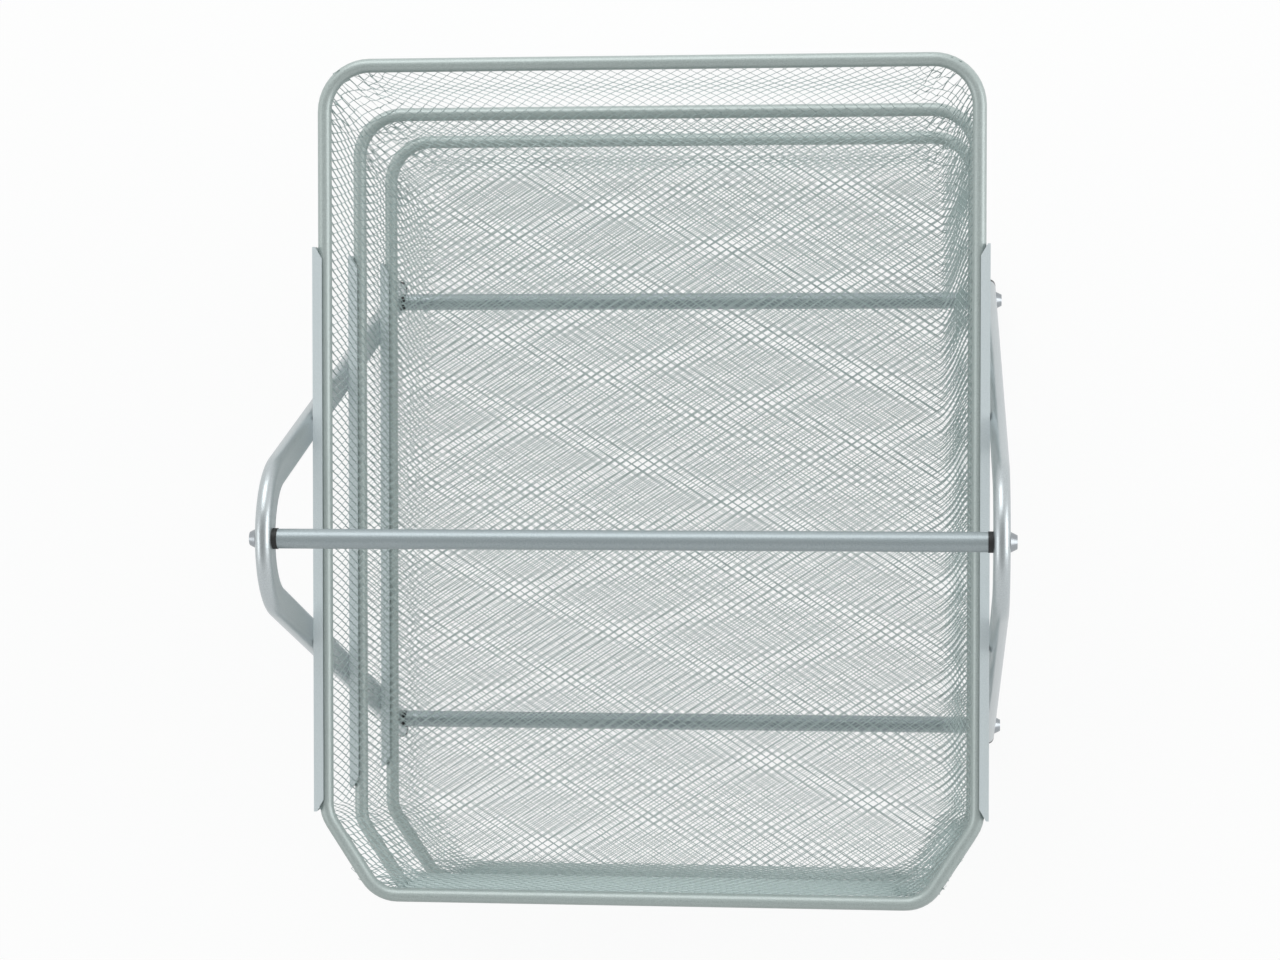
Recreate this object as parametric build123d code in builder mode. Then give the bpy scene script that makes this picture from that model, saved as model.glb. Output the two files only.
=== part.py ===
"""A three-tier desktop letter tray: two bent tube side frames joined by three round bars,
six sheet rails on the frames, and three wire-rimmed mesh trays that slide in the rails.

The origin is on the desk under the middle of the whole object as its trays stand, +Z is up,
+X is the right side and -Y is the front, the way the trays pull out.  Millimetres.  Each
piece is modelled about the middle of the stand, and finish() sets it back to that origin.
"""
import os
from math import asin, atan2, cos, degrees, hypot, radians, sin, tan

from build123d import *

os.makedirs("parts", exist_ok=True)

# ---------------------------------------------------------------- driving dimensions
# trays
tray_width = 255.0            # over the rim wire
tray_length = 324.0           # over the rim wire
rim_wire = 5.3                # diameter of the rim wire
rear_corner_radius = 17.5     # of the wire's centre line
front_corner_width = 20.0     # how far the slanted front corner runs in along X
front_corner_length = 31.0    # and back along Y
front_bend_radius = 14.0      # of the two bends in each front corner
tray_depth = 25.0             # rim centre down to the underside of the floor
pan_thickness = 0.9           # the expanded sheet, over its twisted strands
side_wall_run = 13.3          # how far each wall leans in from rim to floor
rear_wall_run = 15.5
front_wall_run = 4.6

# stand
tier_pitch = 68.0             # from one rim to the next
lowest_rim_height = 60.0      # bottom tray's rim centre above the desk
handle_height = 267.0         # centre of the handle bar above the desk
base_bar_height = 12.0        # centre of the two base bars above the desk
leg_half_spacing = 93.5       # leg centre line from the middle, at the base bars
top_bend_radius = 25.0        # of the frame tube's centre line over the top
tube_thickness = 6.0          # flat-oval tube, along X
tube_depth = 12.0             # and across, in the plane of the frame
tube_wall = 1.0
bar_diameter = 7.2
washer_diameter = 7.6
washer_thickness = 1.8
foot_pad_height = 3.0
foot_plug_length = 5.0

# rails
rail_length = 217.0
rail_sheet = 1.0
rail_flange = 3.6             # overall width of a flange, sheet included
rail_mitre = 4.5              # how much shorter a flange is at its free edge
rail_side_gap = 0.5           # rim to web, each side
rail_height_gap = 0.5         # rim to flange, above and below

# screws
screw_shank = 3.8
screw_head_diameter = 7.4
screw_head_height = 2.4
screw_crown_diameter = 5.0    # the flat top of the button head
screw_bite = 12.0             # length of shank inside the bar
hex_key_size = 2.5            # across flats
hex_key_depth = 1.4
hole_gap = 0.2                # between a screw and its hole, on the radius
plug_gap = 0.1                # between a foot's plug and the tube, all round

# where each tray stands in its rails, back from the middle of the stand
tray_rest = {"top": 18.5, "middle": 6.4, "bottom": 1.3}

# ---------------------------------------------------------------- derived places
tiers = {
    "bottom": lowest_rim_height,
    "middle": lowest_rim_height + tier_pitch,
    "top": lowest_rim_height + 2 * tier_pitch,
}
sides = {"left": -1, "right": 1}
rim_half_width = (tray_width - rim_wire) / 2        # to the wire's centre line
rim_half_length = (tray_length - rim_wire) / 2
web_inner = tray_width / 2 + rail_side_gap
web_outer = web_inner + rail_sheet                  # also the inner face of each side frame
rail_height = rim_wire + 2 * (rail_height_gap + rail_sheet)
tube_centre = web_outer + tube_thickness / 2
bar_half_length = web_outer - washer_thickness

# The leg's lean: a straight line from the base bar, tangent to the top bend.
bend_centre_height = handle_height - top_bend_radius
leg_rise = bend_centre_height - base_bar_height
leg_reach = hypot(leg_half_spacing, leg_rise)
leg_lean = degrees(atan2(leg_half_spacing, leg_rise) - asin(top_bend_radius / leg_reach))
frame_peak = bend_centre_height + top_bend_radius / sin(radians(leg_lean))


def leg_at(height):
    """Distance of the leg's centre line from the middle, at a height above the desk."""
    return (frame_peak - height) * tan(radians(leg_lean))


# The trays stand unevenly in the rails, so the stand is not in the middle of the whole.
stand_middle = -(max(tray_rest.values()) + min(tray_rest.values())) / 2


def finish(builder, name):
    """Set a finished piece in the object's frame, label it and write its own STEP file."""
    piece = builder.part.moved(Location((0, stand_middle, 0)))
    piece.label = name
    export_step(piece, f"parts/{name}.step")


# ---------------------------------------------------------------- tray rims and pans
def tray_outline(half_width, rear, front, corner_width, corner_length, rear_radius, front_radius):
    """A tray's plan: round rear corners and slanted front corners."""
    points = [
        (half_width, rear),
        (half_width, front + corner_length),
        (half_width - corner_width, front),
        (-half_width + corner_width, front),
        (-half_width, front + corner_length),
        (-half_width, rear),
    ]
    radii = [rear_radius] + [front_radius] * 4 + [rear_radius]
    return FilletPolyline(*points, radius=radii, close=True)


def rim_outline():
    """The centre line of the rim wire, in plan."""
    return tray_outline(rim_half_width, rim_half_length, -rim_half_length, front_corner_width,
                        front_corner_length, rear_corner_radius, front_bend_radius)


def wall_outline(run_share, inset):
    """The pan's outline part of the way down its walls, inset by a wall's thickness."""
    side = side_wall_run * run_share + inset
    rear = rear_wall_run * run_share + inset
    front = front_wall_run * run_share + inset
    corner_shrink = front_wall_run * run_share
    return tray_outline(
        rim_half_width - side,
        rim_half_length - rear,
        -rim_half_length + front,
        front_corner_width - corner_shrink,
        front_corner_length - corner_shrink,
        max(rear_corner_radius - inset, 1.0),
        max(front_bend_radius - inset, 1.0),
    )


def make_rim(height, back):
    """The rim: one wire bent round the tray and butt-welded at the middle of the rear."""
    with BuildPart() as rim:
        with BuildLine(Plane((0, back, height))) as path:
            rim_outline()
        with BuildSketch(Plane(path.line @ 0, z_dir=path.line % 0)):
            Circle(rim_wire / 2)
        sweep()
    return rim


def make_pan(height, back, rim):
    """The mesh pan: a pressed sheet, open at the top, hung from the rim all round."""
    floor = height - tray_depth
    outside = (floor, 0, Mode.ADD)
    inside = (floor + pan_thickness, pan_thickness, Mode.SUBTRACT)
    with BuildPart() as pan:
        for bottom, inset, mode in (outside, inside):
            with BuildSketch(Plane((0, back, bottom))):
                with BuildLine():
                    wall_outline(1, inset)
                make_face()
            with BuildSketch(Plane((0, back, height))):
                with BuildLine():
                    wall_outline(0, inset)
                make_face()
            loft(ruled=True, mode=mode)
        add(rim.part, mode=Mode.SUBTRACT)
    return pan


for tier, height in tiers.items():
    tray_rim = make_rim(height, tray_rest[tier])
    finish(tray_rim, f"{tier}_tray_rim")
    tray_pan = make_pan(height, tray_rest[tier], tray_rim)
    finish(tray_pan, f"{tier}_tray_mesh")


# ---------------------------------------------------------------- rails
def make_rail(side, height):
    """A folded sheet channel, open towards the tray, its flanges mitred at both ends."""
    web_middle = side * (web_inner + rail_sheet / 2)
    flange_middle = side * (web_outer - rail_flange / 2)
    flange_tip = side * (web_outer - rail_flange)
    flange_height = (rail_height - rail_sheet) / 2
    half_length = rail_length / 2
    with BuildPart() as rail:
        with BuildSketch(Plane.XZ.offset(-half_length)):
            with Locations((web_middle, height)):
                Rectangle(rail_sheet, rail_height)
            with Locations((flange_middle, height - flange_height),
                           (flange_middle, height + flange_height)):
                Rectangle(rail_flange, rail_sheet)
        extrude(amount=rail_length)
        with BuildSketch(Plane.XY.offset(height - rail_height / 2)):
            for end in (-1, 1):
                with BuildLine():
                    Polyline(
                        (side * web_inner, end * half_length),
                        (flange_tip, end * half_length),
                        (flange_tip, end * (half_length - rail_mitre)),
                        close=True,
                    )
                make_face()
        extrude(amount=rail_height, mode=Mode.SUBTRACT)
    return rail


for tier, height in tiers.items():
    for side_name, side in sides.items():
        finish(make_rail(side, height), f"{tier}_{side_name}_rail")


# ---------------------------------------------------------------- side frames and feet
def leg_plane(side, end, height):
    """A plane square across a leg, where its centre line passes a height above the desk."""
    centre = (side * tube_centre, end * leg_at(height), height)
    up_the_leg = (0, -end * sin(radians(leg_lean)), cos(radians(leg_lean)))
    return Plane(centre, x_dir=(1, 0, 0), z_dir=up_the_leg)


def make_side_frame(side):
    """One flat-oval tube bent over the top into two straight, spreading legs."""
    overrun = -tube_depth       # the tube starts below the desk and is cut off level
    start = leg_plane(side, -1, overrun)
    with BuildPart() as frame:
        with BuildLine(Plane.YZ.offset(side * tube_centre)):
            FilletPolyline(
                (-leg_at(overrun), overrun),
                (0, frame_peak),
                (leg_at(overrun), overrun),
                radius=top_bend_radius,
            )
        with BuildSketch(start):
            SlotOverall(tube_depth, tube_thickness, rotation=90)
            SlotOverall(tube_depth - 2 * tube_wall, tube_thickness - 2 * tube_wall, rotation=90,
                        mode=Mode.SUBTRACT)
        sweep()
        split(bisect_by=Plane.XY.offset(foot_pad_height), keep=Keep.TOP)
        with Locations(
            (side * tube_centre, 0, handle_height),
            (side * tube_centre, leg_half_spacing, base_bar_height),
            (side * tube_centre, -leg_half_spacing, base_bar_height),
        ):
            Cylinder(screw_shank / 2 + hole_gap, 2 * tube_thickness, rotation=(0, 90, 0),
                     mode=Mode.SUBTRACT)
    return frame


def make_foot(side, end):
    """A moulded plastic foot: a pad under the leg and a plug up inside the tube."""
    plug_thickness = tube_thickness - 2 * (tube_wall + plug_gap)
    plug_depth = tube_depth - 2 * (tube_wall + plug_gap)
    top = foot_pad_height + foot_plug_length
    with BuildPart() as foot:
        with BuildSketch(leg_plane(side, end, foot_pad_height)):
            SlotOverall(tube_depth, tube_thickness, rotation=90)
        extrude(amount=tube_depth, both=True)
        split(bisect_by=Plane.XY.offset(foot_pad_height), keep=Keep.BOTTOM)
        split(bisect_by=Plane.XY, keep=Keep.TOP)
        with BuildSketch(leg_plane(side, end, foot_pad_height / 2)):
            SlotOverall(plug_depth, plug_thickness, rotation=90)
        extrude(amount=foot_plug_length)
        split(bisect_by=Plane.XY.offset(top), keep=Keep.BOTTOM)
    return foot


for side_name, side in sides.items():
    finish(make_side_frame(side), f"{side_name}_side_frame")
    for end_name, end in (("front", -1), ("rear", 1)):
        finish(make_foot(side, end), f"{end_name}_{side_name}_foot")


# ---------------------------------------------------------------- bars, washers, screws
def make_bar(y, z):
    """A round steel bar, drilled and tapped in both ends."""
    with BuildPart() as bar:
        with Locations((0, y, z)):
            Cylinder(bar_diameter / 2, 2 * bar_half_length, rotation=(0, 90, 0))
        for side in sides.values():
            with Locations((side * (bar_half_length - screw_bite / 2 - hole_gap), y, z)):
                Cylinder(screw_shank / 2 + hole_gap, screw_bite + 2 * hole_gap, rotation=(0, 90, 0),
                         mode=Mode.SUBTRACT)
    return bar


def make_washers(y, z):
    """Two black plastic washers, one between each end of a bar and its side frame."""
    with BuildPart() as washers:
        washer_middle = web_outer - washer_thickness / 2
        with Locations(*[(side * washer_middle, y, z) for side in sides.values()]):
            Cylinder(washer_diameter / 2, washer_thickness, rotation=(0, 90, 0))
            Cylinder(screw_shank / 2 + hole_gap, washer_thickness, rotation=(0, 90, 0),
                     mode=Mode.SUBTRACT)
    return washers


def make_screws(y, z):
    """Two button-head screws, put in from outside through the side frames into a bar."""
    head_face = tube_thickness + washer_thickness + screw_bite
    with BuildPart() as screws:
        for side in sides.values():
            tip = (side * (bar_half_length - screw_bite), y, z)
            axis = Plane(tip, x_dir=(0, 1, 0), z_dir=(side, 0, 0))
            with BuildSketch(axis):
                Circle(screw_shank / 2)
            extrude(amount=head_face)
            with BuildSketch(axis.offset(head_face)):
                Circle(screw_head_diameter / 2)
            with BuildSketch(axis.offset(head_face + screw_head_height)):
                Circle(screw_crown_diameter / 2)
            loft()
            with BuildSketch(axis.offset(head_face + screw_head_height)):
                RegularPolygon(hex_key_size / 2, 6, major_radius=False)
            extrude(amount=-hex_key_depth, mode=Mode.SUBTRACT)
    return screws


bars = {
    "handle_bar": (0, handle_height),
    "front_base_bar": (-leg_half_spacing, base_bar_height),
    "rear_base_bar": (leg_half_spacing, base_bar_height),
}
for name, (y, z) in bars.items():
    finish(make_bar(y, z), name)
    finish(make_washers(y, z), f"{name}_washers")
    finish(make_screws(y, z), f"{name}_screws")

frame_width = 2 * (tube_centre + tube_thickness / 2)
print(f"legs lean {leg_lean:.2f} degrees; frame is {frame_width:.1f} wide")
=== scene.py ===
# %% [markdown]
# # A three-tier mesh letter tray
# Two bent tube frames carry three trays of expanded metal, and the trays slide in folded sheet
# rails.  The solid pieces come ready-made from the CAD model.  What is left for Blender is
# the open lattice of the pressed sheet, the finishes, the light and the camera.

import math

import bpy
from mathutils import Matrix, Vector


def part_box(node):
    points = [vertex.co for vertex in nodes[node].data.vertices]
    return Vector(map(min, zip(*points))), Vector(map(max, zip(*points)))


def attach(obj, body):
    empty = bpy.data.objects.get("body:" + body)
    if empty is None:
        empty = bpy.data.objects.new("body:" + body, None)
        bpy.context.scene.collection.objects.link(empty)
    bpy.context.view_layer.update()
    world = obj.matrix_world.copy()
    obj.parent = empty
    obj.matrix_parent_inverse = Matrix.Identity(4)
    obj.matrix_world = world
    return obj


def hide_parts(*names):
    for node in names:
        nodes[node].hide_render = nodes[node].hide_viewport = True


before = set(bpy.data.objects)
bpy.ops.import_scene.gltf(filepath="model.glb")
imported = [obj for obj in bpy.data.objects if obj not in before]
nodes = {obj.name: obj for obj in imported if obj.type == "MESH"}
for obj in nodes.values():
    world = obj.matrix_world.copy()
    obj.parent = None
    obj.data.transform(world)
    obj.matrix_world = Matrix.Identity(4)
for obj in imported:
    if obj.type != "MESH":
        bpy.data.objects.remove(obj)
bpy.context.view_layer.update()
MM = 0.001
TIERS = ("top", "middle", "bottom")

# %% [markdown]
# Colours are picked as sRGB hex values, the way a paint chart gives them, but shaders work in
# linear light.  One function does the change, so that every material goes through the same door.
# A second adds one node with its settings and links, and a third maps a range of values.


# %% Colour and node helpers
def paint(hex_code):
    """An sRGB hex colour as linear red, green, blue and alpha."""
    values = [int(hex_code[i:i + 2], 16) / 255 for i in (1, 3, 5)]
    linear = [v / 12.92 if v <= 0.04045 else ((v + 0.055) / 1.055) ** 2.4 for v in values]
    return (*linear, 1.0)


def add(tree, kind, settings=None, links=None, **inputs):
    """Add one node: its settings, its unlinked input values, and the links into it."""
    node = tree.nodes.new(kind)
    for name, value in (settings or {}).items():
        setattr(node, name, value)
    for name, value in inputs.items():
        node.inputs[name.replace("_", " ")].default_value = value
    for name, source in (links or {}).items():
        tree.links.new(source, node.inputs[name])
    return node


def ramp(tree, value, low, high, at_low, at_high, smooth=False):
    """A value mapped from one range to another, in a straight line or an S-curve."""
    settings = {"interpolation_type": "SMOOTHSTEP"} if smooth else None
    node = add(tree, "ShaderNodeMapRange", settings, {"Value": value}, From_Min=low,
               From_Max=high, To_Min=at_low, To_Max=at_high)
    return node.outputs[0]


print("white in linear light", paint("#FFFFFF"))

# %% [markdown]
# The camera hangs almost straight above the handle and a little to the right, so the left
# side frame is seen opening outwards while the right one is seen nearly edge on.  A long lens
# keeps the perspective gentle.  Its place is measured from the top tray's rim.

# %% Camera
rim_low, rim_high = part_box("top_tray_rim")
rim_height = (rim_low[2] + rim_high[2]) / 2
CAMERA_PLACE = Vector((0.108, 0.0411, rim_height + 1.0893))
CAMERA_TURN = (math.radians(-1.65), math.radians(5.83), 0.0)
CAMERA_LENS = 80.9

camera_data = bpy.data.cameras.new("camera")
camera_data.lens = CAMERA_LENS
camera_data.sensor_width = 36.0
camera_data.clip_end = 20.0
camera = bpy.data.objects.new("camera", camera_data)
camera.location = CAMERA_PLACE
camera.rotation_euler = CAMERA_TURN
bpy.context.scene.collection.objects.link(camera)
bpy.context.scene.camera = camera
print("camera", tuple(round(v, 3) for v in CAMERA_PLACE))

# %% [markdown]
# The tray is shown on a plain white sweep.  The floor is a matt, nearly white sheet that adds
# a share of its own white where the camera or a shiny surface looks at it, so the background
# stays clean and a soft shadow still grounds the feet.

# %% Floor
FLOOR_HALF = 4.0
FLOOR_WHITE_SHARE = 0.90

floor_mesh = bpy.data.meshes.new("floor")
floor_corners = [(FLOOR_HALF * x, FLOOR_HALF * y, 0) for x, y in ((-1, -1), (1, -1), (1, 1), (-1, 1))]
floor_mesh.from_pydata(floor_corners, [], [(0, 1, 2, 3)])
floor = bpy.data.objects.new("floor", floor_mesh)
bpy.context.scene.collection.objects.link(floor)


def seen_directly(tree, share):
    """A factor: the given share on camera, glossy and transmission rays, and nothing on others."""
    path = add(tree, "ShaderNodeLightPath")
    some = add(tree, "ShaderNodeMath", {"operation": "MAXIMUM"},
               {0: path.outputs["Is Camera Ray"], 1: path.outputs["Is Glossy Ray"]})
    any_of = add(tree, "ShaderNodeMath", {"operation": "MAXIMUM"},
                 {0: some.outputs[0], 1: path.outputs["Is Transmission Ray"]})
    return ramp(tree, any_of.outputs[0], 0.0, 1.0, 0.0, share)


def make_floor_material():
    """Matt white paper with a clean white share of its own."""
    material = bpy.data.materials.new("white_paper_sweep")
    material.use_nodes = True
    tree = material.node_tree
    tree.nodes.clear()
    paper = add(tree, "ShaderNodeBsdfDiffuse", Color=paint("#F1F1F0"))
    white = add(tree, "ShaderNodeEmission", Color=(1, 1, 1, 1), Strength=1.0)
    mix = add(tree, "ShaderNodeMixShader", None,
              {0: seen_directly(tree, FLOOR_WHITE_SHARE), 1: paper.outputs[0], 2: white.outputs[0]})
    add(tree, "ShaderNodeOutputMaterial", None, {"Surface": mix.outputs[0]})
    return material


floor_mesh.materials.append(make_floor_material())
print("floor", 2 * FLOOR_HALF, "m square")

# %% [markdown]
# Light comes from big soft panels, as in a product studio, and from the room around.  The
# panels make the light streak that runs along each wire.

# %% Lights
def add_panel(name, place, aim, size, power):
    """One square soft light, turned to look at a point."""
    data = bpy.data.lights.new(name, "AREA")
    data.energy = power
    data.size = size
    panel = bpy.data.objects.new(name, data)
    panel.location = place
    panel.rotation_euler = (Vector(aim) - Vector(place)).to_track_quat("-Z", "Y").to_euler()
    bpy.context.scene.collection.objects.link(panel)
    return panel


LIT_POINT = (0.0, 0.0, 0.15)
PANELS = (  # name, place, size, watts
    ("rear_panel", (-0.45, 2.0, 1.35), 1.6, 17.0),
    ("left_panel", (-1.6, -0.2, 1.2), 0.9, 4.0),
    ("right_panel", (1.9, 0.2, 1.1), 1.4, 14.0),
)
for name, place, size, power in PANELS:
    add_panel(name, place, LIT_POINT, size, power)
print("panels", [name for name, *_ in PANELS])

# %% [markdown]
# The sky is brighter behind the tray than in front of it, which rounds the wires off towards
# their front edges, and a little dimmer straight overhead.  What the camera and the shiny
# surfaces see of it is a white backdrop that also dims overhead.

# %% World
FRONT_OF_ROOM, TOP_OF_ROOM, TOP_OF_BACKDROP = 0.08, 0.92, 0.40

world = bpy.data.worlds.new("studio")
bpy.context.scene.world = world
world.use_nodes = True
world_tree = world.node_tree
world_tree.nodes.clear()
direction = add(world_tree, "ShaderNodeTexCoord").outputs["Generated"]
heading = add(world_tree, "ShaderNodeSeparateXYZ", None, {0: direction}).outputs
from_rear = ramp(world_tree, heading[1], -0.9, 0.2, FRONT_OF_ROOM, 1.0, smooth=True)
from_top = ramp(world_tree, heading[2], 0.5, 1.0, 1.0, TOP_OF_ROOM, smooth=True)
backdrop_level = ramp(world_tree, heading[2], 0.6, 1.0, 1.0, TOP_OF_BACKDROP, smooth=True)
room_level = add(world_tree, "ShaderNodeMath", {"operation": "MULTIPLY"}, {0: from_rear, 1: from_top})
room = add(world_tree, "ShaderNodeBackground", None, {"Strength": room_level.outputs[0]},
           Color=paint("#F1F6F5"))
backdrop = add(world_tree, "ShaderNodeBackground", None, {"Strength": backdrop_level},
               Color=(1, 1, 1, 1))
room_mix = add(world_tree, "ShaderNodeMixShader", None,
               {0: seen_directly(world_tree, 1.0), 1: room.outputs[0], 2: backdrop.outputs[0]})
add(world_tree, "ShaderNodeOutputWorld", None, {"Surface": room_mix.outputs[0]})
bpy.context.scene.view_settings.view_transform = "Standard"
print("world", world.name)

# %% [markdown]
# **Silver powder coat on steel.**  Powder is sprayed on dry and baked, so it flows into a satin
# skin with a faint orange-peel ripple about a millimetre across.  The silver in it is
# aluminium flake: each grain tilts its own way, which gives a fine light-and-dark speckle.


# %% Powder coat
def new_material(name):
    """An empty material, its node tree, and the object's own coordinates in it."""
    material = bpy.data.materials.new(name)
    material.use_nodes = True
    tree = material.node_tree
    tree.nodes.clear()
    return material, tree, add(tree, "ShaderNodeTexCoord").outputs["Object"]


def noise(tree, place, size_mm, detail):
    """Noise with patches of a real size."""
    return add(tree, "ShaderNodeTexNoise", None, {"Vector": place}, Scale=1 / (size_mm * MM),
               Detail=detail).outputs[0]


def make_powder_coat(name, colour, dark_colour, metallic, roughness, peel_mm, peel_depth, grain_mm):
    """Baked silver powder coat with orange peel and flake speckle, from real sizes."""
    material, tree, place = new_material(name)
    flake = noise(tree, place, grain_mm, 2.0)
    tint = add(tree, "ShaderNodeMix", {"data_type": "RGBA"}, {0: ramp(tree, flake, 0.3, 0.7, 0.0, 1.0)})
    tint.inputs[6].default_value = paint(dark_colour)
    tint.inputs[7].default_value = paint(colour)
    bump = add(tree, "ShaderNodeBump", None, {"Height": noise(tree, place, peel_mm, 1.0)},
               Strength=0.35, Distance=peel_depth * MM)
    shader = add(tree, "ShaderNodeBsdfPrincipled", None, {
        "Base Color": tint.outputs[2],
        "Roughness": ramp(tree, flake, 0.0, 1.0, roughness - 0.05, roughness + 0.07),
        "Normal": bump.outputs[0],
    }, Metallic=metallic)
    add(tree, "ShaderNodeOutputMaterial", None, {"Surface": shader.outputs[0]})
    return material


# Bars and rims carry one coat, yet the bar's shade is darker than the wire's: painted shade, for the
# shade that falls towards the front of the tray.  The rail's shade is lighter than the wire's: painted
# light, for the strong side light on the rail flanges.
COATS = {  # colour, darker flakes, metallic, roughness, peel width and depth, grain (mm)
    "wire": ("#B5BFBD", "#9FA9A7", 0.35, 0.38, 1.1, 0.05, 0.35),
    "bar": ("#A9B3B6", "#939DA1", 0.50, 0.36, 1.1, 0.05, 0.35),
    "tube": ("#C1C8CA", "#AEB5B8", 0.85, 0.32, 1.2, 0.06, 0.35),
    "rail": ("#D6DEE1", "#C7D0D3", 0.25, 0.36, 1.2, 0.05, 0.35),
    "mesh": ("#BCCAC9", "#A7B5B4", 0.25, 0.40, 0.9, 0.03, 0.30),
}
coats = {part: make_powder_coat(f"silver_powder_coat_on_{part}", *row) for part, row in COATS.items()}
print("powder coats", list(coats))

# %% [markdown]
# **Black nylon** for the washers and feet is moulded against a spark-eroded tool, so it is matt
# with a fine grain.


# %% Nylon
def make_nylon():
    """Moulded black nylon: matt, with a grain of about 0.4 mm."""
    material, tree, place = new_material("black_moulded_nylon")
    grain = noise(tree, place, 0.4, 2.0)
    bump = add(tree, "ShaderNodeBump", None, {"Height": grain}, Strength=0.4, Distance=0.04 * MM)
    shader = add(tree, "ShaderNodeBsdfPrincipled", None,
                 {"Roughness": ramp(tree, grain, 0.0, 1.0, 0.45, 0.65), "Normal": bump.outputs[0]},
                 Base_Color=paint("#1C1D1E"))
    add(tree, "ShaderNodeOutputMaterial", None, {"Surface": shader.outputs[0]})
    return material


nylon = make_nylon()
print("made", nylon.name)

# %% [markdown]
# **Zinc-plated steel** for the screws is brighter than the paint.  The plating clouds a little
# as it is rinsed, so its gloss is drawn uneven at a scale just under a millimetre.


# %% Zinc
def make_zinc():
    """Zinc-plated steel: bright, slightly blue, with soft uneven gloss."""
    material, tree, place = new_material("zinc_plated_steel")
    cloud = noise(tree, place, 0.8, 3.0)
    shader = add(tree, "ShaderNodeBsdfPrincipled", None,
                 {"Roughness": ramp(tree, cloud, 0.0, 1.0, 0.22, 0.40)},
                 Base_Color=paint("#9DA2A6"), Metallic=1.0)
    add(tree, "ShaderNodeOutputMaterial", None, {"Surface": shader.outputs[0]})
    return material


zinc = make_zinc()
print("made", zinc.name)

# %% [markdown]
# The CAD pieces keep their shapes, and each gets the finish of the real one, with the bars' coat
# darkened by painted shade and the rails' coat lightened by painted light.  The name of a
# node says what it is, so one table of word and finish dresses them all.

# %% Dress the CAD pieces
FINISHES = (
    ("washers", nylon), ("foot", nylon), ("screws", zinc), ("side_frame", coats["tube"]),
    ("rail", coats["rail"]), ("rim", coats["wire"]), ("bar", coats["bar"]), ("mesh", coats["mesh"]),
)
for name, obj in nodes.items():
    finish = next(material for word, material in FINISHES if word in name)
    obj.data.materials.clear()
    obj.data.materials.append(finish)
print("dressed", len(nodes), "CAD pieces")

# %% [markdown]
# **Expanded metal.**  A steel sheet is slit in staggered rows and pulled open, so each opening is
# a diamond, wider across the tray than along it.  The sheet is then pressed into a pan over a
# block: the floor stays flat and the margin folds up to the rim.  The floor's outline is the
# edge of that block, so it is drawn first: straight sides, round rear corners and slanted
# front corners, worked out from the rim's own box.

# %% The floor's outline
WIRE = rim_high[2] - rim_low[2]
RIM_HALF_WIDTH = (rim_high[0] - rim_low[0] - WIRE) / 2
RIM_HALF_LENGTH = (rim_high[1] - rim_low[1] - WIRE) / 2
SIDE_RUN, REAR_RUN, FRONT_RUN = 13.3 * MM, 15.5 * MM, 4.6 * MM
TRAY_DEPTH = 25.0 * MM
PAN_THICKNESS = 0.9 * MM
CORNER_WIDTH, CORNER_LENGTH = 15.4 * MM, 26.4 * MM
REAR_RADIUS, FRONT_RADIUS = 17.5 * MM, 14.0 * MM
ARC_STEPS = 8


def round_corner(before, corner, after, radius):
    """Points of the arc that rounds a corner of an outline."""
    to_before = (before - corner).normalized()
    to_after = (after - corner).normalized()
    half_turn = math.acos(max(-1.0, min(1.0, to_before.dot(to_after)))) / 2
    centre = corner + (to_before + to_after).normalized() * (radius / math.sin(half_turn))
    start = corner + to_before * (radius / math.tan(half_turn)) - centre
    end = corner + to_after * (radius / math.tan(half_turn)) - centre
    turn = math.atan2(start.x * end.y - start.y * end.x, start.dot(end))
    points = []
    for step in range(ARC_STEPS + 1):
        points.append(centre + Matrix.Rotation(turn * step / ARC_STEPS, 2) @ start)
    return points


def floor_outline():
    """The plan of a tray's flat floor, about the tray's own middle, anticlockwise."""
    x = RIM_HALF_WIDTH - SIDE_RUN
    rear = RIM_HALF_LENGTH - REAR_RUN
    front = -RIM_HALF_LENGTH + FRONT_RUN
    corners = [
        ((x, rear), REAR_RADIUS), ((-x, rear), REAR_RADIUS),
        ((-x, front + CORNER_LENGTH), FRONT_RADIUS), ((-x + CORNER_WIDTH, front), FRONT_RADIUS),
        ((x - CORNER_WIDTH, front), FRONT_RADIUS), ((x, front + CORNER_LENGTH), FRONT_RADIUS),
    ]
    places = [Vector(place) for place, _ in corners]
    points = []
    for i, (_, radius) in enumerate(corners):
        points += round_corner(places[i - 1], places[i], places[(i + 1) % len(places)], radius)
    return points


print("the floor's outline has", len(floor_outline()), "points")


# %% [markdown]
# The press is a Geometry Nodes tree, so the sheet's pitch, strand and fold stay plain inputs to
# change.  One tree makes either part of a pan, the flat floor or the folded walls, from the
# floor's outline.  Its inputs come first, all of them real sizes or shares.

# %% The press and its inputs
SHEET_INPUTS = (
    ("Pitch X", 4.62 * MM), ("Pitch Y", 3.2 * MM), ("Turn", 0.0),
    ("Open Share", 0.885), ("Tilt", -2.2), ("Strand Thickness", 0.30 * MM),
    ("Blank Margin", 26.0 * MM), ("Corner Stretch", 0.40), ("Depth", TRAY_DEPTH),
    ("Side Run", SIDE_RUN), ("Rear Run", REAR_RUN), ("Front Run", FRONT_RUN),
    ("Side Straight", RIM_HALF_WIDTH - SIDE_RUN - 6 * MM),
    ("Rear Straight", RIM_HALF_LENGTH - REAR_RUN - REAR_RADIUS),
    ("Front Straight", RIM_HALF_LENGTH - FRONT_RUN - CORNER_LENGTH), ("Front Corner", CORNER_LENGTH),
)
press = bpy.data.node_groups.new("expanded_sheet_press", "GeometryNodeTree")
press.interface.new_socket("Outline", in_out="INPUT", socket_type="NodeSocketGeometry")
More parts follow.
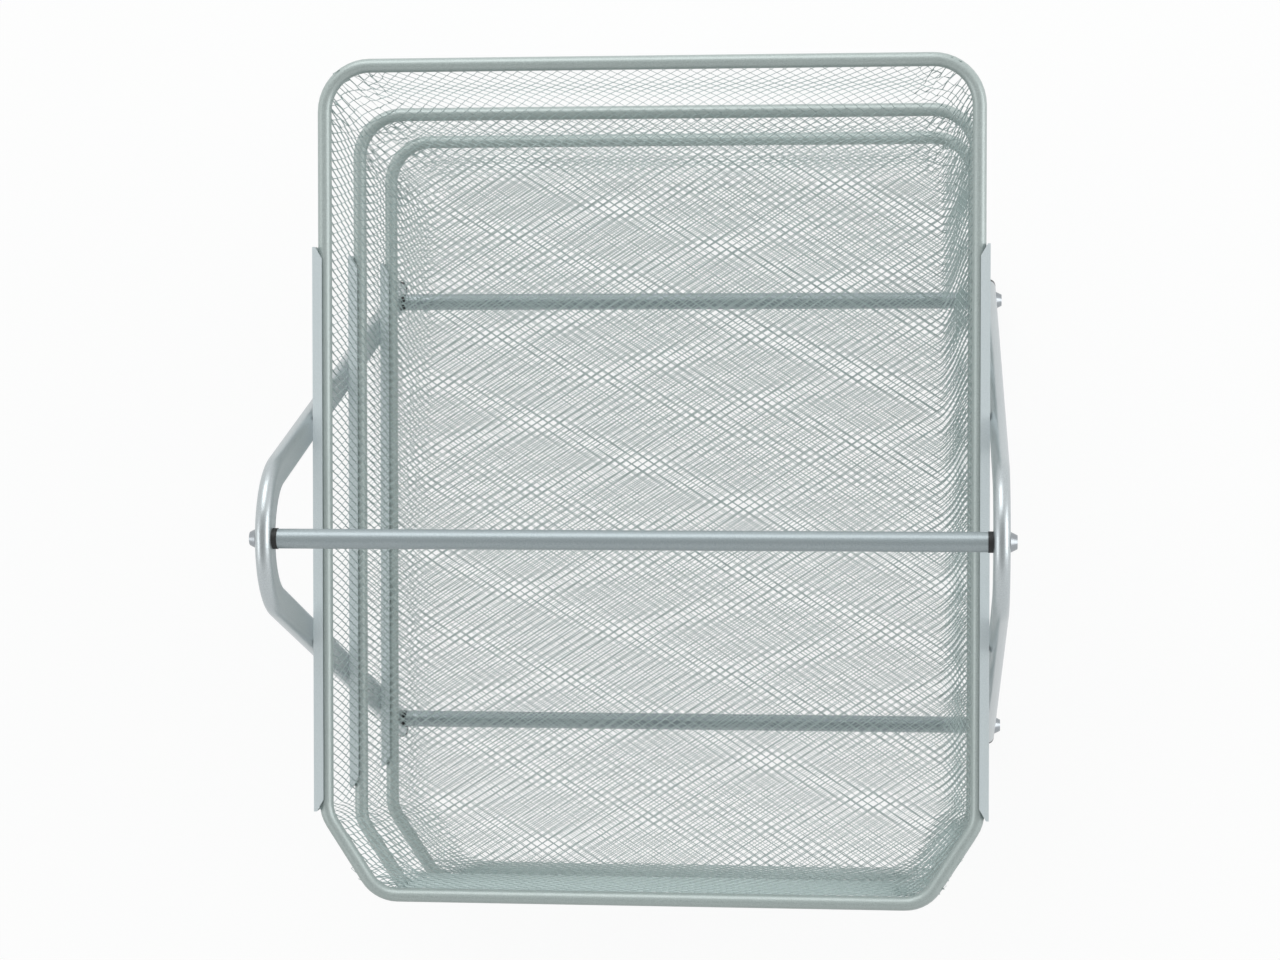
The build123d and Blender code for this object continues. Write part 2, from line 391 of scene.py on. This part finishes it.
for name, value in SHEET_INPUTS:
    socket = press.interface.new_socket(name, in_out="INPUT", socket_type="NodeSocketFloat")
    socket.default_value = value
press.interface.new_socket("Walls", in_out="INPUT", socket_type="NodeSocketBool")
press.interface.new_socket("Material", in_out="INPUT", socket_type="NodeSocketMaterial")
press.interface.new_socket("Sheet", in_out="OUTPUT", socket_type="NodeSocketGeometry")
given = press.nodes.new("NodeGroupInput").outputs
print("the press has", len(SHEET_INPUTS), "sizes to set")

# %% [markdown]
# A few small helpers write the press's arithmetic as calls that can be read aloud.  Each adds one
# node to the tree and gives back its output.


# %% Helpers that write into the press
def feed(socket, value):
    """Set a node's input to a number, or link another node's output into it."""
    if isinstance(value, (int, float)):
        socket.default_value = value
    else:
        press.links.new(value, socket)


def calc(operation, first, second=None):
    """One Math node on sockets or plain numbers."""
    node = press.nodes.new("ShaderNodeMath")
    node.operation = operation
    feed(node.inputs[0], first)
    if second is not None:
        feed(node.inputs[1], second)
    return node.outputs[0]


def vector(operation, first, second=None, scale=None):
    """One Vector Math node that gives a vector."""
    links = {0: first} if second is None else {0: first, 1: second}
    node = add(press, "ShaderNodeVectorMath", {"operation": operation}, links)
    if scale is not None:
        press.links.new(scale, node.inputs["Scale"])
    return node.outputs[0]


def split(socket):
    """The x, y and z of a vector."""
    return add(press, "ShaderNodeSeparateXYZ", None, {0: socket}).outputs


def combine(x, y, z=0.0):
    """A vector from x, y and z."""
    node = press.nodes.new("ShaderNodeCombineXYZ")
    for socket, value in zip(node.inputs, (x, y, z)):
        feed(socket, value)
    return node.outputs[0]


def store(kind, name, geometry, value):
    """Store a value on every point under a name, and give back the geometry."""
    return add(press, "GeometryNodeStoreNamedAttribute", {"data_type": kind, "domain": "POINT"},
               {"Geometry": geometry, "Value": value}, Name=name).outputs[0]


def recall(kind, name):
    """Read a stored value back."""
    return add(press, "GeometryNodeInputNamedAttribute", {"data_type": kind}, Name=name).outputs[0]


print("helpers ready")

# %% [markdown]
# **Slitting and stretching** turns a plain sheet into a lattice of diamonds.  The same lattice
# comes from a square grid sheared so that each square stands on its corner, which is quicker
# than placing diamonds one by one and leaves no seams between them.

# %% The lattice
LATTICE_CELLS = 180          # enough diamonds each way to cover the whole blank

grid = add(press, "GeometryNodeMeshGrid", Size_X=LATTICE_CELLS, Size_Y=LATTICE_CELLS,
           Vertices_X=LATTICE_CELLS + 1, Vertices_Y=LATTICE_CELLS + 1)
spot = press.nodes.new("GeometryNodeInputPosition").outputs[0]
cell = split(spot)
across = calc("MULTIPLY", calc("SUBTRACT", cell[0], cell[1]), calc("MULTIPLY", given["Pitch X"], 0.5))
along = calc("MULTIPLY", calc("ADD", cell[0], cell[1]), calc("MULTIPLY", given["Pitch Y"], 0.5))
turned = add(press, "ShaderNodeVectorRotate", {"rotation_type": "Z_AXIS"},
             {"Vector": combine(across, along), "Angle": given["Turn"]})
lattice = add(press, "GeometryNodeSetPosition", None,
              {"Geometry": grid.outputs[0], "Position": turned.outputs[0]})
print("lattice of", LATTICE_CELLS ** 2, "diamonds")

# %% [markdown]
# **The blank** is cut to the floor and a margin around it.  The press stretches the sheet down
# into the round rear corners, so less of it is needed there and the margin is narrower.  How far
# each point lies outside the floor, and from which point of the floor's edge, says everything
# that the fold needs to know.

# %% The blank
ON_FLOOR = 1e-6

near = add(press, "GeometryNodeProximity", {"target_element": "FACES"}, {"Geometry": given["Outline"]})
outside, edge = near.outputs["Distance"], near.outputs["Position"]
foot_x, foot_y, _ = split(edge)
away = split(vector("NORMALIZE", vector("SUBTRACT", spot, edge)))
slant = calc("MULTIPLY", away[0], away[1])
cornerness = calc("MULTIPLY", calc("MULTIPLY", calc("MULTIPLY", slant, slant), 4.0),
                  calc("GREATER_THAN", foot_y, 0.0))
saved = calc("MULTIPLY", calc("MULTIPLY", cornerness, given["Corner Stretch"]), given["Blank Margin"])
margin = calc("SUBTRACT", given["Blank Margin"], saved)

too_far = add(press, "FunctionNodeCompare", {"operation": "GREATER_THAN"}, {0: outside, 1: margin})
on_floor = add(press, "FunctionNodeCompare", {"operation": "LESS_EQUAL"}, {0: outside})
on_floor.inputs[1].default_value = ON_FLOOR
wrong_part = add(press, "FunctionNodeBooleanMath", {"operation": "XNOR"},
                 {0: on_floor.outputs[0], 1: given["Walls"]})
unwanted = add(press, "FunctionNodeBooleanMath", {"operation": "OR"},
               {0: too_far.outputs[0], 1: wrong_part.outputs[0]})
blank_cut = add(press, "GeometryNodeDeleteGeometry", {"domain": "FACE"},
                {"Geometry": lattice.outputs[0], "Selection": unwanted.outputs[0]})
print("blank cut to the outline")

# %% [markdown]
# **Opening the holes.**  Each diamond gets a smaller copy of itself inside it, which is taken
# out, so what stays is a net of strands.  On a real sheet the knife leaves every strand twisted,
# its front side low and its rear side high.  So the lips of each hole are marked, with how far
# each of them moved along the tray, and that becomes the twist.

# %% The holes
neighbours = press.nodes.new("GeometryNodeInputMeshEdgeNeighbors")
lone = add(press, "FunctionNodeCompare", {"data_type": "INT", "operation": "EQUAL"},
           {"A": neighbours.outputs[0]})
lone.inputs["B"].default_value = 1
marked = store("BOOLEAN", "border", blank_cut.outputs[0], lone.outputs[0])
pushed = add(press, "GeometryNodeExtrudeMesh", {"mode": "FACES"}, {"Mesh": marked},
             Offset_Scale=0.0, Individual=True)
before = store("FLOAT_VECTOR", "uncut", pushed.outputs["Mesh"], spot)
shrunk = add(press, "GeometryNodeScaleElements", {"domain": "FACE"}, {
    "Geometry": before, "Selection": pushed.outputs["Top"], "Scale": given["Open Share"],
})
lipped = store("BOOLEAN", "hole_lip", shrunk.outputs[0], pushed.outputs["Top"])
pierced = add(press, "GeometryNodeDeleteGeometry", {"domain": "FACE"},
              {"Geometry": lipped, "Selection": pushed.outputs["Top"]})
moved = split(vector("SUBTRACT", recall("FLOAT_VECTOR", "uncut"), spot))
twisted = store("FLOAT", "tilt", pierced.outputs[0], calc("MULTIPLY", moved[1], given["Tilt"]))
print("holes opened")

# %% [markdown]
# **Folding the margin** up to the rim happens in one stroke of the press.  The wall is flatter
# near the floor and near the rim and steepest half way, as sheet pressed over a rounded block
# is.  It leans out by its own amount at the sides, the rear and the front, and the corners blend
# from one amount to the next.

# %% The fold
OUTWARD_WAVE, UPWARD_WAVE = 0.35 / math.tau, 0.15 / math.tau

share = calc("DIVIDE", outside, margin)
wave = calc("SINE", calc("MULTIPLY", share, math.tau))
out_share = calc("ADD", share, calc("MULTIPLY", wave, OUTWARD_WAVE))
up_share = calc("SUBTRACT", share, calc("MULTIPLY", wave, UPWARD_WAVE))
past_front = calc("SUBTRACT", calc("MULTIPLY", foot_y, -1.0), given["Front Straight"])
front_share = add(press, "ShaderNodeClamp", None,
                  {"Value": calc("DIVIDE", past_front, given["Front Corner"])}).outputs[0]
rear_share = add(press, "ShaderNodeClamp", None,
                 {"Value": calc("DIVIDE", foot_y, given["Rear Straight"])}).outputs[0]
side_share = calc("MINIMUM", calc("MAXIMUM", calc("DIVIDE", foot_x, given["Side Straight"]), -1.0), 1.0)
run_x = calc("MULTIPLY", side_share, given["Side Run"])
run_y = calc("SUBTRACT", calc("MULTIPLY", rear_share, given["Rear Run"]),
             calc("MULTIPLY", front_share, given["Front Run"]))
shift = vector("SCALE", combine(run_x, run_y), scale=out_share)
lift = combine(0.0, 0.0, calc("MULTIPLY", given["Depth"], up_share))
folded = add(press, "GeometryNodeSetPosition", None,
             {"Geometry": twisted, "Position": vector("ADD", vector("ADD", edge, shift), lift)})
print("margin folded")

# %% [markdown]
# **Strands with a body.**  A strand is a sliver of steel, rounded by its coat.  Two skins of the
# net, one raised and one lowered along the middle of each strand, meet at the hole lips, where
# they are sewn together.  The result is made real and given its finish.

# %% The two skins
SEW_DISTANCE = 0.01 * MM

normal = press.nodes.new("GeometryNodeInputNormal").outputs[0]
ridge = add(press, "FunctionNodeBooleanMath", {"operation": "NOR"},
            {0: recall("BOOLEAN", "border"), 1: recall("BOOLEAN", "hole_lip")}).outputs[0]
skins = []
for sense in (0.5, -0.5):
    swell = calc("MULTIPLY", calc("MULTIPLY", given["Strand Thickness"], sense), ridge)
    rise = vector("SCALE", normal, scale=calc("ADD", swell, recall("FLOAT", "tilt")))
    skins.append(add(press, "GeometryNodeSetPosition", None,
                     {"Geometry": folded.outputs[0], "Offset": rise}).outputs[0])
upper_skin = skins[0]
lower_skin = add(press, "GeometryNodeFlipFaces", None, {"Mesh": skins[1]}).outputs[0]
joined = press.nodes.new("GeometryNodeJoinGeometry")
for skin in (lower_skin, upper_skin):
    press.links.new(skin, joined.inputs[0])
sewn = add(press, "GeometryNodeMergeByDistance", None, {"Geometry": joined.outputs[0]},
           Distance=SEW_DISTANCE)
real = add(press, "GeometryNodeRealizeInstances", None, {0: sewn.outputs[0]})
dressed = add(press, "GeometryNodeSetMaterial", None,
              {"Geometry": real.outputs[0], "Material": given["Material"]})
press.links.new(dressed.outputs[0], press.nodes.new("NodeGroupOutput").inputs[0])
print("the press has", len(press.nodes), "nodes")

# %% [markdown]
# No two sheets are stretched quite alike.  The three trays get slightly different pitches and
# lie at slightly different angles, and it is this that draws the large, drifting moire
# diamonds when one floor is seen through another.

# %% Press the six sheets
SHEETS = {
    "top": {"Pitch X": 4.62 * MM, "Pitch Y": 3.20 * MM, "Turn": math.radians(-0.15)},
    "middle": {"Pitch X": 4.65 * MM, "Pitch Y": 3.10 * MM, "Turn": 0.0},
    "bottom": {"Pitch X": 4.67 * MM, "Pitch Y": 2.89 * MM, "Turn": math.radians(-0.8)},
}


def set_inputs(modifier, values):
    """Set a modifier's inputs by the identifiers of the sockets that have these names."""
    ids = {item.name: item.identifier for item in modifier.node_group.interface.items_tree
           if item.in_out == "INPUT"}
    for name, value in values.items():
        modifier[ids[name]] = value


def freeze(obj, name):
    """Turn a node-made object into a plain mesh object under a new name."""
    graph = bpy.context.evaluated_depsgraph_get()
    mesh = bpy.data.meshes.new_from_object(obj.evaluated_get(graph))
    mesh.name = name
    plain = bpy.data.objects.new(name, mesh)
    bpy.context.scene.collection.objects.link(plain)
    bpy.data.objects.remove(obj)
    return plain


def press_sheet(tier, walls):
    """One part of one tray's pan, set in its place under its rim."""
    low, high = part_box(f"{tier}_tray_rim")
    centre = (Vector(low) + Vector(high)) / 2
    outline = floor_outline()
    mesh = bpy.data.meshes.new("blank")
    mesh.from_pydata([(p.x, p.y, 0) for p in outline], [], [tuple(range(len(outline)))])
    blank = bpy.data.objects.new("blank", mesh)
    bpy.context.scene.collection.objects.link(blank)
    modifier = blank.modifiers.new("press", "NODES")
    modifier.node_group = press
    set_inputs(modifier, {**SHEETS[tier], "Walls": walls, "Material": coats["mesh"]})
    part = freeze(blank, f"{tier}_tray_{'walls' if walls else 'floor'}")
    floor_height = centre.z - TRAY_DEPTH + PAN_THICKNESS / 2
    part.data.transform(Matrix.Translation((centre.x, centre.y, floor_height)))
    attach(part, f"{tier}_tray")
    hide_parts(f"{tier}_tray_mesh")
    part.data.calc_loop_triangles()
    print(part.name, len(part.data.loop_triangles), "triangles")
    return part


for tier in TIERS:
    for walls in (False, True):
        press_sheet(tier, walls)
